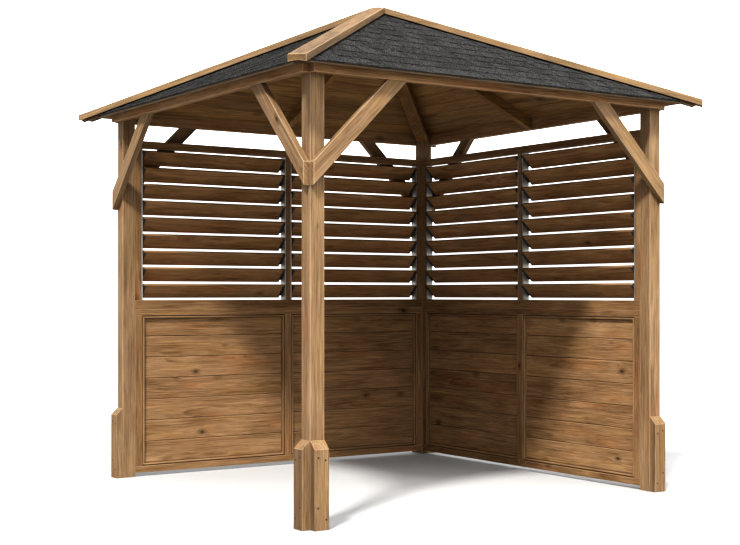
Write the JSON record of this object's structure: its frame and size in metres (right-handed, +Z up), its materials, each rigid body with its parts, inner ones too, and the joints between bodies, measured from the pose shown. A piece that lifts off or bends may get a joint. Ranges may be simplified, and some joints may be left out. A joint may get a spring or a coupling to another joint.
{
  "type": "garden gazebo",
  "caption": "Square open garden gazebo with corner posts, knee braces, a shingled pyramid roof and two adjoining walls of boarded panels under fixed louvres.",
  "frame": {"origin": "on the ground, under the middle of the roof", "axes": "+Z up; front is -Y and open, left is -X and open, back is +Y and right is +X, both walled"},
  "size_m": [3.0368, 3.0368, 3.1572],
  "materials": {
    "post_wood": "satin stained softwood",
    "beam_wood": "satin stained softwood",
    "cap_wood": "satin stained softwood",
    "deck_wood": "satin stained softwood",
    "rafter_wood": "satin stained softwood",
    "frame_wood": "satin stained softwood",
    "panel_wood": "satin stained softwood",
    "louvre_wood": "satin stained softwood",
    "shingle": "mineral granules on bitumen felt",
    "track_metal": "satin"
  },
  "bodies": {
    "root": {"braces_back": "beam_wood", "braces_front": "beam_wood", "braces_left": "beam_wood", "braces_right": "beam_wood", "eave_beam_back": "beam_wood", "eave_beam_front": "beam_wood", "eave_beam_left": "beam_wood", "eave_beam_right": "beam_wood", "eave_trim_back": "cap_wood", "eave_trim_front": "cap_wood", "eave_trim_left": "cap_wood", "eave_trim_right": "cap_wood", "hip_blocks": "cap_wood", "hip_cap_back_left": "cap_wood", "hip_cap_back_right": "cap_wood", "hip_cap_front_left": "cap_wood", "hip_cap_front_right": "cap_wood", "hip_rafters": "rafter_wood", "king_block": "rafter_wood", "louvre_blades_back": "louvre_wood", "louvre_blades_right": "louvre_wood", "louvre_tracks_back": "track_metal", "louvre_tracks_right": "track_metal", "mid_rafters": "rafter_wood", "plinth_back_left": "post_wood", "plinth_back_right": "post_wood", "plinth_front_left": "post_wood", "plinth_front_right": "post_wood", "post_back_left": "post_wood", "post_back_right": "post_wood", "post_front_left": "post_wood", "post_front_right": "post_wood", "roof_deck_back": "deck_wood", "roof_deck_front": "deck_wood", "roof_deck_left": "deck_wood", "roof_deck_right": "deck_wood", "shingles_back": "shingle", "shingles_front": "shingle", "shingles_left": "shingle", "shingles_right": "shingle", "wall_beads_back": "frame_wood", "wall_beads_right": "frame_wood", "wall_panels_back": "panel_wood", "wall_panels_right": "panel_wood", "wall_rails_back": "frame_wood", "wall_rails_right": "frame_wood", "wall_stiles_back": "frame_wood", "wall_stiles_right": "frame_wood"}
  },
  "joints": []
}
